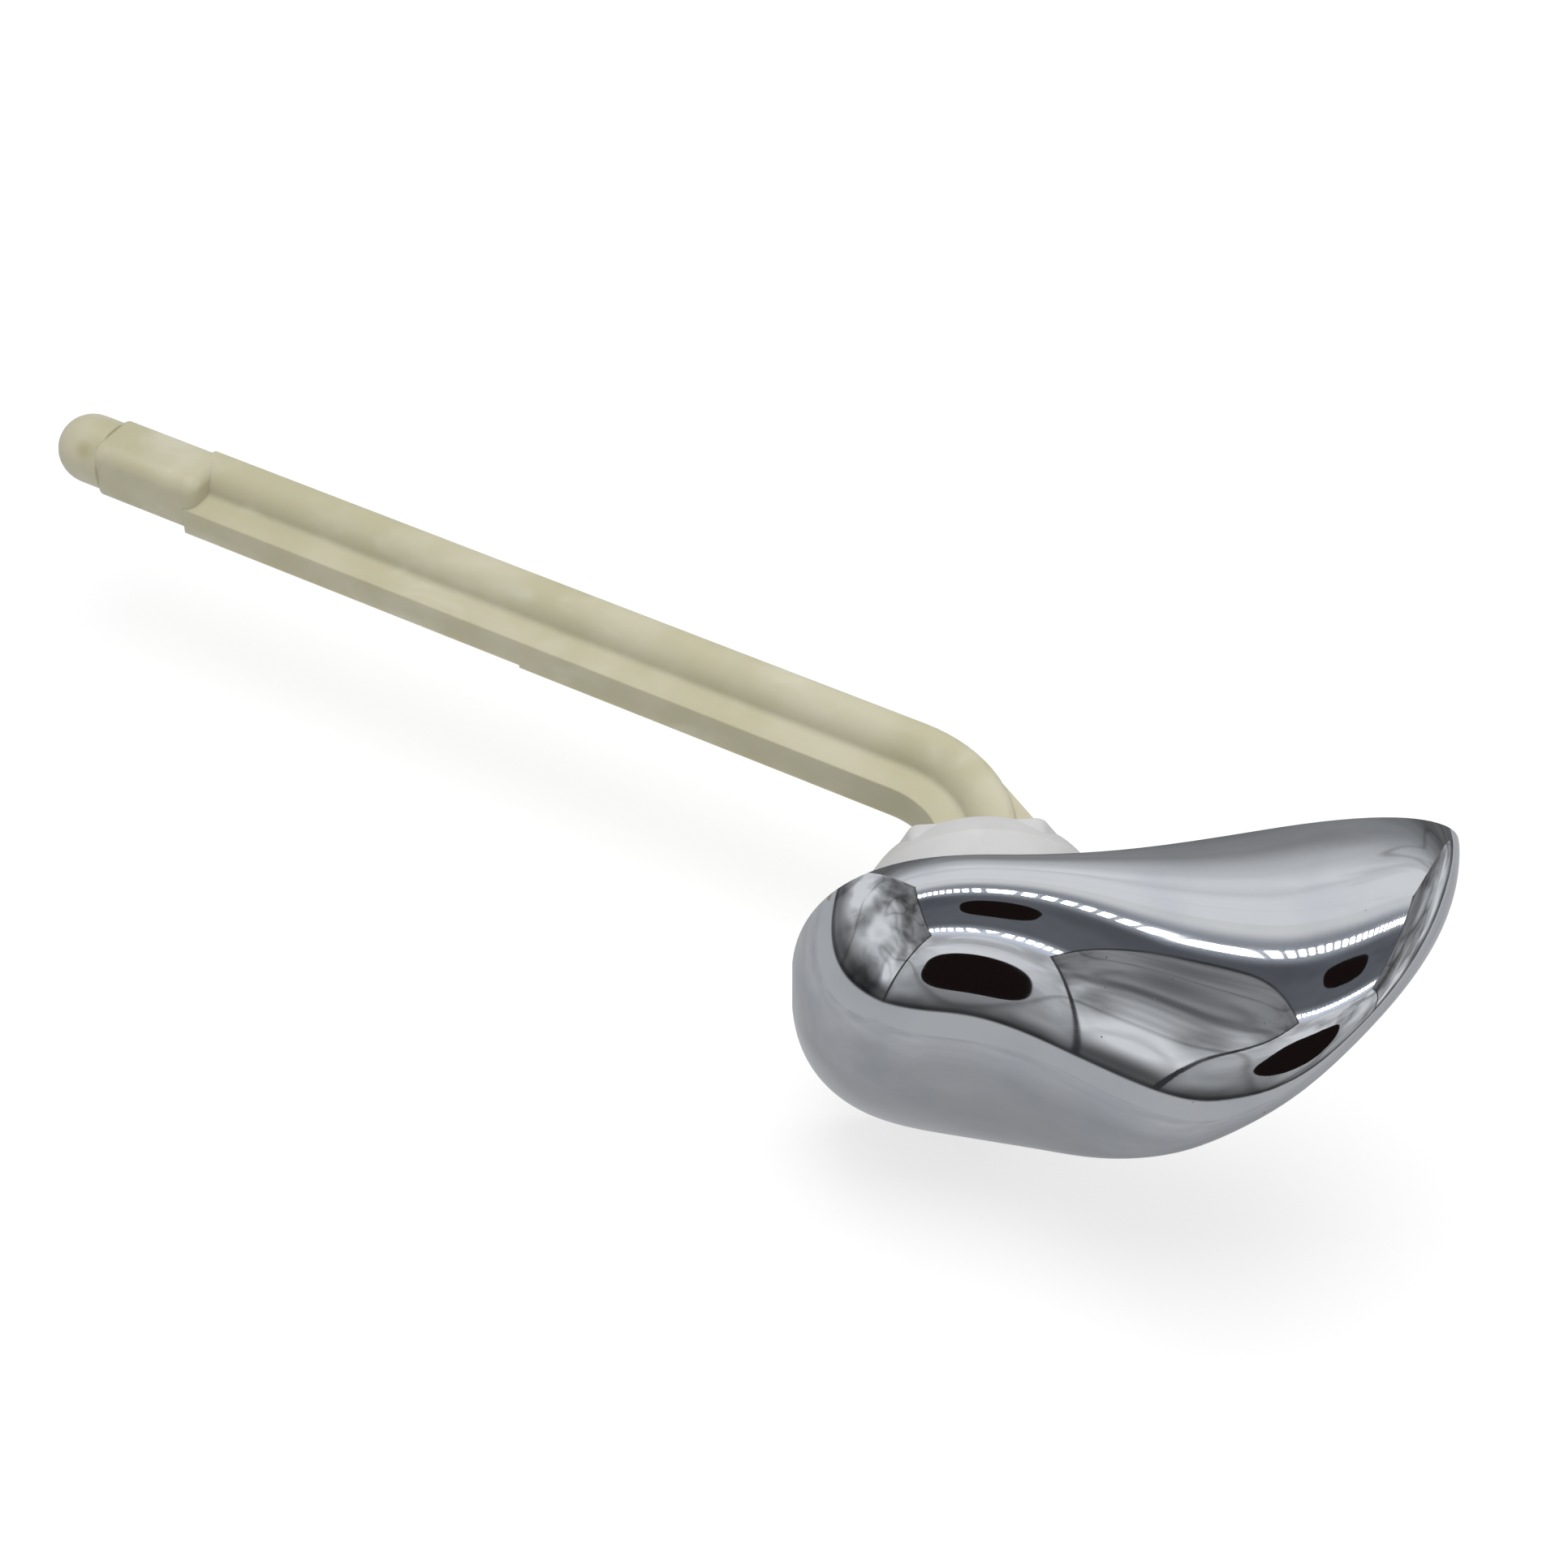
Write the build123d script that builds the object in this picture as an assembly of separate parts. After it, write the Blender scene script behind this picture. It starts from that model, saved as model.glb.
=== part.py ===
from build123d import *
import math
import os

# Cistern lever: a chromed handle and a moulded arm that turn together in a clamped bushing.
# Millimetres, +Z up, +Y into the cistern. The origin is on the pivot axis, in the plane of the
# cistern wall's outer face. The handle reaches to +X in front of the wall, the arm to -X behind it.

# Handle: a hollow shell with a round head on the pivot and a beak-shaped paddle
HANDLE_BACK = -1.0  # Y of the open back, just clear of the wall
HANDLE_WALL = 2.2
HEAD_REACH = 23.9  # from the axis to the left end
HEAD_CLEARANCE = 1.3  # from the bushing's flange to the inside of the head's top
HEAD_LOW = 24.5  # from the line of greatest depth down to the lower edge
HEAD_CREST = -3.7  # height of the line of greatest depth at the head
HEAD_END_Z = -4.4  # height at which the left end closes
HEAD_DEPTH = 19.2
HEAD_END_POWER = 2.45
PADDLE_REACH = 55.9  # from the axis to the tip
PADDLE_DEPTH = 32.9
PADDLE_LOW = 5.1
PADDLE_RISE = 7.6  # rise of the upper edge towards the tip
RISE_PAST_TIP = 6.0  # the rise would end this far past the tip
PADDLE_LIFT = 22.8  # rise of the line of greatest depth towards the tip
LIFT_START = 3.4
LIFT_LENGTH = 51.3
LOW_START = -4.8
LOW_LENGTH = 30.4  # stretch over which the lower edge draws up to the paddle's
DEPTH_START = -8.4
DEPTH_LENGTH = 37.5  # stretch over which the head deepens to the paddle
TIP_START = 31.0  # X from which the paddle narrows to its tip
TIP_POWER = 1.61
TIP_EDGE_POWER = 2.8
HEAD_TOP_FULLNESS = 0.3  # share of the depth over which the head's top stays level
HEAD_FRONT_FULLNESS = 0.9  # share of the height over which the head's front stays upright
HEAD_CHIN_FULLNESS = 0.34
HEAD_BASE_FULLNESS = 0.3
PADDLE_TOP_FULLNESS = 0.9
PADDLE_FRONT_FULLNESS = 0.2
PADDLE_CHIN_FULLNESS = 0.75
PADDLE_BASE_FULLNESS = 0.8
FULLNESS_START = -12.0
FULLNESS_LENGTH = 43.1  # stretch over which the head's section turns into the paddle's
END_TRIM = 0.12  # the skin's end sections stand this far inside its two ends
HOLLOW_HEAD_TRIM = 2.2
HOLLOW_TIP_TRIM = 4.6
SKIN_SPACING = 4.4  # mean distance between the sections of the skin, and of the hollow
HOLLOW_SPACING = 6.0

# Drive between the handle and the arm
BOSS_BEARING = 1.7  # ring of the boss outside the journal, which runs on the bushing's flange
TENON_SIDE = 9.0
TENON_LENGTH = 8.4
TENON_CORNER = 0.8
TENON_CLEARANCE = 0.05
SOCKET_SPARE = 0.4  # free depth of the socket in front of the tenon
SCREW_RADIUS = 2.0  # set screw that comes up through the handle's underside onto the tenon
SCREW_LENGTH = 8.0
SCREW_CLEARANCE = 0.05
SCREW_SOCKET = 2.0  # across the flats of its hexagon socket
SCREW_SOCKET_DEPTH = 2.5
SCREW_POINT = 0.8
COLUMN_WALL = 1.75  # plastic round the set screw

# Bushing, gasket and nut that clamp the wall
JOURNAL_RADIUS = 7.5
JOURNAL_CLEARANCE = 0.05
BUSHING_WALL = 1.95
BUSHING_PROUD = 0.1  # the sleeve's end stands this far out of the nut
FLANGE_THICKNESS = 2.5
SHOULDER_LIP = 0.2
SHOULDER_CORNER = 4.0
SHOULDER_LENGTH = 2.4
GASKET_THICKNESS = 1.5
GASKET_CLEARANCE = 0.2
GASKET_WIDTH = 2.14
NUT_LENGTH = 9.2
NUT_FLATS = 28.0
NUT_CORNER = 1.6
NUT_EDGE = 0.5
NUT_HEX_START = 2.5
NUT_RIM_RADIUS = 16.9
NUT_RIM_THICKNESS = 4.5
NUT_CONE_RADIUS = 14.55  # small end of the cone; the hexagon's corners stand out of it
NUT_TURN = 4.4  # degrees that the nut stands turned on its thread
NUT_CLEARANCE = 0.06
NUT_RECESS_CLEARANCE = 0.3
END_PLAY = 0.3

# Stops: a tab in the handle runs between two lugs on the bushing's flange
STOP_CLEARANCE = 0.4  # from the boss to the lugs, and from the tab to the flange
STOP_MARGIN = 1.0
STOP_HEIGHT = 3.0
TAB_ANGLE = 20.0
LUG_ANGLE = 22.0
TRAVEL_ANGLE = 35.0
STOP_GAP_ANGLE = 1.0

# Arm
ARM_YAW = 30.3  # from -X towards +Y
ARM_STANDOFF = 19.0  # from the collar to where the arm's centre line meets the pivot axis
BEND_RADIUS = 17.0
ARM_WIDTH = 9.6
RAIL_TOP = 5.0
RAIL_EDGE = 1.5  # rounding of the rail's outer side
LEDGE_TOP = 1.0
LEDGE_EDGE = 0.3  # height of the ledge's outer edge
LEDGE_END = -1.7  # from the arm's middle to where the ledge starts to rise into the rail
VALLEY_ROUND = 0.9  # rounding between the ledge and the rail
ARM_BOTTOM = -4.0
ARM_STEP = 0.45  # extra depth of the arm on the pivot side of the step
CHANNEL_WIDTH = 4.0
CHANNEL_TOP = -1.4
CHANNEL_DRAFT = 0.3
DEEP_RIB_LENGTH = 68.0  # from the pivot axis to the step
SHALLOW_RIB_LENGTH = 57.4
BAR_LENGTH = 15.3
KNOB_LENGTH = 9.4
COLLAR_LIP = 1.5
COLLAR_LENGTH = 4.0
GUSSET_REACH = 7.4  # X of the gusset's outer side, where the collar runs into the bend
GUSSET_TOP = 3.6
GUSSET_RUN = 10.0  # straight run of the gusset from the collar
BAR_WIDTH = 9.4
BAR_HEIGHT = 9.2
BAR_CENTRE = 0.35
BAR_CORNER = 2.2
BAR_SHOULDER = 2.0  # rounding of the bar over the rib
KNOB_RADIUS = 5.1

OVERRUN = 1.0  # cuts run this far past a face, and fused pieces this far into each other

# Values that follow from the sizes above
bushing_radius = JOURNAL_RADIUS + JOURNAL_CLEARANCE + BUSHING_WALL
shoulder_side = 2 * (bushing_radius + SHOULDER_LIP)
shoulder_corner_radius = shoulder_side / math.sqrt(2) - SHOULDER_CORNER * (math.sqrt(2) - 1)
gasket_inner = shoulder_corner_radius + GASKET_CLEARANCE
flange_radius = gasket_inner + GASKET_WIDTH
flange_front = -GASKET_THICKNESS - FLANGE_THICKNESS
head_top = flange_radius + HEAD_CLEARANCE + HANDLE_WALL
rise_length = PADDLE_REACH + RISE_PAST_TIP
boss_radius = JOURNAL_RADIUS + BOSS_BEARING
boss_front = HANDLE_BACK - PADDLE_DEPTH
stop_inner = boss_radius + STOP_CLEARANCE
stop_outer = flange_radius - STOP_MARGIN
journal_front = flange_front - END_PLAY
tenon_front = journal_front - TENON_LENGTH
screw_y = (journal_front + tenon_front) / 2
bushing_end = NUT_LENGTH + BUSHING_PROUD
collar_front = bushing_end + END_PLAY
arm_apex = collar_front + ARM_STANDOFF
bend_tangent = BEND_RADIUS * math.tan(math.radians(45 - ARM_YAW / 2))
bend_start = arm_apex - bend_tangent
arm_direction = Vector(-math.cos(math.radians(ARM_YAW)), math.sin(math.radians(ARM_YAW)), 0)
rail_crest = ARM_WIDTH / 2 - RAIL_EDGE
rail_turn = 2 * math.atan((RAIL_TOP - LEDGE_TOP) / (rail_crest - LEDGE_END))  # steepest slope of its flank
rail_foot_x = LEDGE_END + VALLEY_ROUND * math.sin(rail_turn)
rail_foot = (rail_foot_x, LEDGE_TOP + VALLEY_ROUND * (1 - math.cos(rail_turn)))

# Distances along the arm from where its centre line meets the axis
step_distance = DEEP_RIB_LENGTH
rib_end = step_distance + SHALLOW_RIB_LENGTH
bar_end = rib_end + BAR_LENGTH
knob_centre = bar_end + KNOB_LENGTH - KNOB_RADIUS


def ease(value):
    """Smooth step from 0 to 1 with no jump in slope or curvature."""
    t = min(max(value, 0.0), 1.0)
    return t ** 3 * (10 - 15 * t + 6 * t * t)


def closing(value, power):
    """Superellipse quarter: 1 at 0, falling to 0 at 1."""
    t = min(max(value, 0.0), 1.0)
    return (1 - t ** power) ** (1 / power)


def handle_law(x):
    """Upper edge, line of greatest depth, lower edge and depth of the handle's skin at one X."""
    left = closing(-x / HEAD_REACH, HEAD_END_POWER)
    along = (x - TIP_START) / (PADDLE_REACH - TIP_START)
    tip_depth = closing(along, TIP_POWER)
    tip_edge = closing(along, TIP_EDGE_POWER)
    crest = HEAD_CREST + PADDLE_LIFT * ease((x - LIFT_START) / LIFT_LENGTH)
    upper = head_top + PADDLE_RISE * ease(x / rise_length)
    low = HEAD_LOW + (PADDLE_LOW - HEAD_LOW) * ease((x - LOW_START) / LOW_LENGTH)
    depth = HEAD_DEPTH + (PADDLE_DEPTH - HEAD_DEPTH) * ease((x - DEPTH_START) / DEPTH_LENGTH)
    top = crest + (upper - crest) * tip_edge
    bottom = crest - low * tip_edge
    return (
        HEAD_END_Z + (top - HEAD_END_Z) * left,
        HEAD_END_Z + (crest - HEAD_END_Z) * left,
        HEAD_END_Z + (bottom - HEAD_END_Z) * left,
        depth * left * tip_depth,
    )


def handle_fullness(x):
    """Fullness of the section at one X: its top, front, chin and base."""
    share = ease((x - FULLNESS_START) / FULLNESS_LENGTH)
    head = (HEAD_TOP_FULLNESS, HEAD_FRONT_FULLNESS, HEAD_CHIN_FULLNESS, HEAD_BASE_FULLNESS)
    paddle = (PADDLE_TOP_FULLNESS, PADDLE_FRONT_FULLNESS, PADDLE_CHIN_FULLNESS, PADDLE_BASE_FULLNESS)
    return [a + (b - a) * share for a, b in zip(head, paddle)]


def handle_section(x, place, inset, past_back):
    """D-shaped face of the handle at one X: a curve above and one below the line of greatest depth.

    The sizes are the skin's at x, less the inset; the face stands at X = place.
    """
    top, crest, bottom, depth = handle_law(x)
    top_full, front_full, chin_full, base_full = handle_fullness(x)
    plane = Plane(origin=(place, HANDLE_BACK, crest), x_dir=(0, 1, 0), z_dir=(1, 0, 0))
    high = top - crest - inset
    low = crest - bottom - inset
    reach = depth - inset
    with BuildSketch(plane) as section:
        with BuildLine():
            Bezier((0, high), (-top_full * reach, high), (-reach, front_full * high), (-reach, 0))
            Bezier((-reach, 0), (-reach, -chin_full * low), (-base_full * reach, -low), (0, -low))
            if past_back:
                Polyline((0, -low), (past_back, -low), (past_back, high), (0, high))
            else:
                Line((0, -low), (0, high))
        make_face()
    return section.sketch


def stations(first, last, spacing):
    """X places from first to last, about the spacing apart and closer together towards both ends."""
    middle = (first + last) / 2
    half = (last - first) / 2
    steps = round((last - first) / spacing)
    return [middle - half * math.cos(math.pi * i / steps) for i in range(steps + 1)]


def ring(outer, inner, y0, y1):
    """Ring about the pivot axis between two Y planes."""
    with BuildPart() as made:
        with BuildSketch(Plane(origin=(0, y0, 0), x_dir=(1, 0, 0), z_dir=(0, 1, 0))):
            Circle(outer)
            if inner:
                Circle(inner, mode=Mode.SUBTRACT)
        extrude(amount=y1 - y0)
    return made.part


def block(width, corner, y0, y1):
    """Square bar about the pivot axis between two Y planes."""
    with BuildPart() as made:
        with BuildSketch(Plane(origin=(0, y0, 0), x_dir=(1, 0, 0), z_dir=(0, 1, 0))):
            RectangleRounded(width, width, corner)
        extrude(amount=y1 - y0)
    return made.part


def sector(inner, outer, middle, width, y0, y1):
    """Ring sector about the pivot axis; angles in degrees from +Z towards +X."""
    with BuildPart() as made:
        with BuildSketch(Plane.XZ):
            with BuildLine():
                CenterArc((0, 0), outer, 90 - middle - width / 2, width)
                CenterArc((0, 0), inner, 90 - middle - width / 2, width)
                for end in (90 - middle - width / 2, 90 - middle + width / 2):
                    a = math.radians(end)
                    reach = Vector(math.cos(a), math.sin(a))
                    Line(reach * inner, reach * outer)
            make_face()
        extrude(amount=y1 - y0)
    return Pos(0, y1, 0) * made.part


def post(radius, z0, z1):
    """Upright cylinder on the set screw's line between two heights."""
    return Pos(0, screw_y, (z0 + z1) / 2) * Cylinder(radius, z1 - z0)


def make_handle():
    """Chromed shell with its drive boss and stop tab."""
    skin_places = stations(-HEAD_REACH + END_TRIM, PADDLE_REACH - END_TRIM, SKIN_SPACING)
    skin = loft([handle_section(x, x, 0, 0) for x in skin_places])
    shrink = 1 - 2 * HANDLE_WALL / (PADDLE_REACH + HEAD_REACH)
    middle = (PADDLE_REACH - HEAD_REACH) / 2
    hollow_first = -HEAD_REACH + HOLLOW_HEAD_TRIM
    hollow_last = PADDLE_REACH - HOLLOW_TIP_TRIM
    hollow_sections = []
    for x in stations(hollow_first, hollow_last, HOLLOW_SPACING):
        place = middle + (x - middle) * shrink
        hollow_sections.append(handle_section(x, place, HANDLE_WALL, OVERRUN))
    hollow = loft(hollow_sections)
    tab_back = flange_front - STOP_CLEARANCE
    inside = ring(boss_radius, 0, boss_front, journal_front)
    inside += sector(stop_inner - STOP_CLEARANCE, stop_outer, 0, TAB_ANGLE, boss_front, tab_back)
    inside += post(SCREW_RADIUS + COLUMN_WALL, HEAD_CREST - HEAD_LOW, 0)
    handle = (skin - hollow) + (inside & skin)
    socket_side = TENON_SIDE + 2 * TENON_CLEARANCE
    socket = block(socket_side, TENON_CORNER, tenon_front - SOCKET_SPARE, journal_front + OVERRUN)
    return handle - socket - post(SCREW_RADIUS + SCREW_CLEARANCE, HEAD_CREST - HEAD_LOW - OVERRUN, 0)


def make_bushing():
    """Flanged sleeve with a square shoulder for the wall's hole and the two stop lugs."""
    bushing = ring(flange_radius, 0, flange_front, -GASKET_THICKNESS)
    bushing += block(shoulder_side, SHOULDER_CORNER, -GASKET_THICKNESS - OVERRUN, SHOULDER_LENGTH)
    bushing += ring(bushing_radius, 0, 0, bushing_end)
    half = (TAB_ANGLE + LUG_ANGLE) / 2 + STOP_GAP_ANGLE
    lug_front = flange_front - STOP_HEIGHT
    for middle in (-half, half + TRAVEL_ANGLE):
        bushing += sector(stop_inner, stop_outer, middle, LUG_ANGLE, lug_front, flange_front + OVERRUN)
    bore_radius = JOURNAL_RADIUS + JOURNAL_CLEARANCE
    return bushing - ring(bore_radius, 0, lug_front - OVERRUN, bushing_end + OVERRUN)


def make_nut():
    """Hexagon standing out of a cone that widens into a round rim at the wall."""
    with BuildPart() as made:
        with BuildSketch(Plane.XY):
            with BuildLine():
                Polyline(
                    (0, 0),
                    (NUT_RIM_RADIUS, 0),
                    (NUT_RIM_RADIUS, NUT_RIM_THICKNESS),
                    (NUT_CONE_RADIUS, NUT_LENGTH),
                    (0, NUT_LENGTH),
                    close=True,
                )
            make_face()
        revolve(axis=Axis.Y)
    with BuildPart() as hexagon:
        with BuildSketch(Plane(origin=(0, NUT_HEX_START, 0), x_dir=(1, 0, 0), z_dir=(0, 1, 0))):
            RegularPolygon(NUT_FLATS / 2, 6, major_radius=False)
        extrude(amount=NUT_LENGTH - NUT_HEX_START)
        fillet(hexagon.edges().filter_by(Axis.Y), NUT_CORNER)
        fillet(hexagon.faces().sort_by(Axis.Y)[-1].edges(), NUT_EDGE)
    nut = made.part + hexagon.part
    nut -= ring(bushing_radius + NUT_CLEARANCE, 0, -OVERRUN, NUT_LENGTH + OVERRUN)
    recess_end = SHOULDER_LENGTH + NUT_RECESS_CLEARANCE
    nut -= ring(shoulder_corner_radius + NUT_RECESS_CLEARANCE, 0, -OVERRUN, recess_end)
    return Rot(0, -NUT_TURN, 0) * nut


def arm_section(plane, bottom):
    """Section of the arm: tall rounded rail outside the bend, lower ledge inside it, channel below.

    The plane's x points away from the bend's centre.
    """
    half = ARM_WIDTH / 2
    with BuildSketch(plane) as section:
        with BuildLine():
            Line((-half, bottom), (-half, LEDGE_EDGE))
            TangentArc((LEDGE_END, LEDGE_TOP), (-half, LEDGE_EDGE), tangent=(-1, 0))
            TangentArc((LEDGE_END, LEDGE_TOP), rail_foot, tangent=(1, 0))
            TangentArc((rail_crest, RAIL_TOP), rail_foot, tangent=(-1, 0))
            CenterArc((rail_crest, RAIL_TOP - RAIL_EDGE), RAIL_EDGE, 0, 90)
            Polyline(
                (half, RAIL_TOP - RAIL_EDGE),
                (half, bottom),
                (CHANNEL_WIDTH / 2, bottom),
                (CHANNEL_WIDTH / 2 - CHANNEL_DRAFT, CHANNEL_TOP),
                (-CHANNEL_WIDTH / 2 + CHANNEL_DRAFT, CHANNEL_TOP),
                (-CHANNEL_WIDTH / 2, bottom),
                (-half, bottom),
            )
        make_face()
    return section.sketch


def along_arm(distance, height=0.0):
    """Plane across the arm at a distance from the apex; its x points to the bend's outside."""
    origin = Vector(0, arm_apex, height) + arm_direction * distance
    outward = (math.sin(math.radians(ARM_YAW)), math.cos(math.radians(ARM_YAW)), 0)
    back = arm_direction * -1
    return Plane(origin=origin, x_dir=outward, z_dir=back)


def make_arm():
    """One moulding: tenon, journal, collar, bent ribbed arm and knobbed tip."""
    arm = ring(JOURNAL_RADIUS, 0, journal_front, collar_front + OVERRUN)
    arm += block(TENON_SIDE, TENON_CORNER, tenon_front, journal_front + OVERRUN)
    arm += ring(JOURNAL_RADIUS + COLLAR_LIP, 0, collar_front, collar_front + COLLAR_LENGTH)
    root_start = collar_front + OVERRUN
    inner = ARM_WIDTH / 4
    corners = [(inner, arm_apex), (inner, root_start), (GUSSET_REACH, root_start)]
    corners.append((GUSSET_REACH, collar_front + GUSSET_RUN))
    with BuildSketch(Plane.XY) as gusset:
        with BuildLine():
            Polyline(*corners, close=True)
        make_face()
    deep = ARM_BOTTOM - ARM_STEP
    arm += Pos(0, 0, deep) * extrude(gusset.sketch, amount=GUSSET_TOP - deep, dir=(0, 0, 1))
    across = Plane(origin=(0, bend_start, 0), x_dir=(1, 0, 0), z_dir=(0, -1, 0))
    root = arm_section(across, deep)
    arm += extrude(root, amount=bend_start - root_start)
    arm += revolve(root, Axis((-BEND_RADIUS, bend_start, 0), (0, 0, 1)), 90 - ARM_YAW)
    arm += extrude(arm_section(along_arm(step_distance), deep), amount=step_distance - bend_tangent)
    arm += extrude(arm_section(along_arm(rib_end), ARM_BOTTOM), amount=rib_end - step_distance)
    with BuildPart() as bar:
        with BuildSketch(along_arm(bar_end, BAR_CENTRE)):
            RectangleRounded(BAR_WIDTH, BAR_HEIGHT, BAR_CORNER)
        extrude(amount=BAR_LENGTH + BAR_SHOULDER)
        inner_end = bar.faces().sort_by(Axis((0, arm_apex, 0), tuple(arm_direction)))[0]
        fillet(inner_end.edges(), BAR_SHOULDER)
    arm += bar.part
    tip = along_arm(knob_centre, BAR_CENTRE)
    with BuildSketch(tip) as knob:
        Circle(KNOB_RADIUS)
    arm += extrude(knob.sketch, amount=knob_centre - bar_end)
    return arm + tip * Sphere(KNOB_RADIUS)


def make_screw():
    """Set screw with a chamfered point and a hexagon socket."""
    top = -TENON_SIDE / 2
    screw = post(SCREW_RADIUS, top - SCREW_LENGTH, top)
    screw = chamfer(screw.edges().sort_by(Axis.Z)[-1], SCREW_POINT)
    with BuildSketch(Plane.XY.offset(top - SCREW_LENGTH)) as socket:
        with Locations((0, screw_y)):
            RegularPolygon(SCREW_SOCKET / 2, 6, major_radius=False)
    return screw - extrude(socket.sketch, amount=SCREW_SOCKET_DEPTH)


os.makedirs("parts", exist_ok=True)
nodes = {
    "handle": make_handle(),
    "bushing": make_bushing(),
    "gasket": ring(flange_radius, gasket_inner, -GASKET_THICKNESS, 0),
    "nut": make_nut(),
    "arm": make_arm(),
    "screw": make_screw(),
}
for name, shape in nodes.items():
    solids = shape.solids()
    export_step(solids[0] if len(solids) == 1 else shape, f"parts/{name}.step")
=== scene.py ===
"""Studio scene of a cistern lever: finishes, a mirror skin, floor, light tent, lamp and camera."""

import logging
import math
from dataclasses import dataclass, field, replace
from enum import Enum
from typing import Any, Optional, Sequence, Union

import bmesh
import bpy
import numpy as np
from mathutils import Matrix, Vector
from mathutils.bvhtree import BVHTree
from mathutils.kdtree import KDTree


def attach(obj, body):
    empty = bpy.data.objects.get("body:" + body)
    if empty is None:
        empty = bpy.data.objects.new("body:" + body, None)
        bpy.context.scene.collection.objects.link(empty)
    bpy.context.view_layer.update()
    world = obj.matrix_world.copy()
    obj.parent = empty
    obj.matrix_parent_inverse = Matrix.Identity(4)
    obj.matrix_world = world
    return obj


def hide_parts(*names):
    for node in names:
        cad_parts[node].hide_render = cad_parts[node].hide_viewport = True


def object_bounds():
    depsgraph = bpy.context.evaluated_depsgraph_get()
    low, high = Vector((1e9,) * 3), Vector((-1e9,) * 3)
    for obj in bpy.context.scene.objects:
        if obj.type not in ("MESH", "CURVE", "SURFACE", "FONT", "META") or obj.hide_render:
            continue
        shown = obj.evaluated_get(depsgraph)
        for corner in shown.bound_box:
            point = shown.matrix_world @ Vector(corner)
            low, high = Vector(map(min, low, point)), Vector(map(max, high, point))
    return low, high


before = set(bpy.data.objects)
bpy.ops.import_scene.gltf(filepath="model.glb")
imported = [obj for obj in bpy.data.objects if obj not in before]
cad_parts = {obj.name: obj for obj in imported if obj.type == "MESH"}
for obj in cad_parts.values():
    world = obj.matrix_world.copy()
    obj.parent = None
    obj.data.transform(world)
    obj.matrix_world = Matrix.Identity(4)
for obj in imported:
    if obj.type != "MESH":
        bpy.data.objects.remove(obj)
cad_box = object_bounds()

Colour = tuple[float, float, float]
Point = tuple[float, float, float]
Pair = tuple[float, float]
Levels = tuple[Pair, ...]
Number = Union[float, "Value"]

LOG = logging.getLogger("cistern_lever")
MM = 0.001
BLACK: Colour = (0.0, 0.0, 0.0)
WHITE: Colour = (1.0, 1.0, 1.0)
EVEN: Point = (1.0, 1.0, 1.0)
# Mean level of cloudy noise.
MIDDLE = 0.5


class Ray(Enum):
    """Kinds of light path that a stage surface tells apart."""

    CAMERA = "Is Camera Ray"
    GLOSSY = "Is Glossy Ray"
    TRANSMISSION = "Is Transmission Ray"


class Axis(Enum):
    """Directions of the part's frame along which a look changes."""

    Y = 1
    Z = 2


@dataclass(frozen=True)
class Clouds:
    """Pattern of cloudy noise.

    Attributes:
        scale: Clouds in a metre.
        detail: Octaves of finer clouds.
        stretch: Factors on the three axes; a small one draws the clouds out along that axis.
        warp: How far the noise bends itself.
        edges: Noise levels at which the pattern starts and is full; plain noise if left out.
    """

    scale: float
    detail: float
    stretch: Point = EVEN
    warp: float = 0.0
    edges: Optional[Pair] = None


@dataclass(frozen=True)
class Specks:
    """Pattern of scattered round specks.

    Attributes:
        scale: Cells in a metre, one speck in each.
        size: Radius of a speck as a share of its cell.
        patches: Where the specks show.
        core: Share of the radius within which a speck is full.
    """

    scale: float
    size: float
    patches: Clouds
    core: float = 0.5


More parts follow.
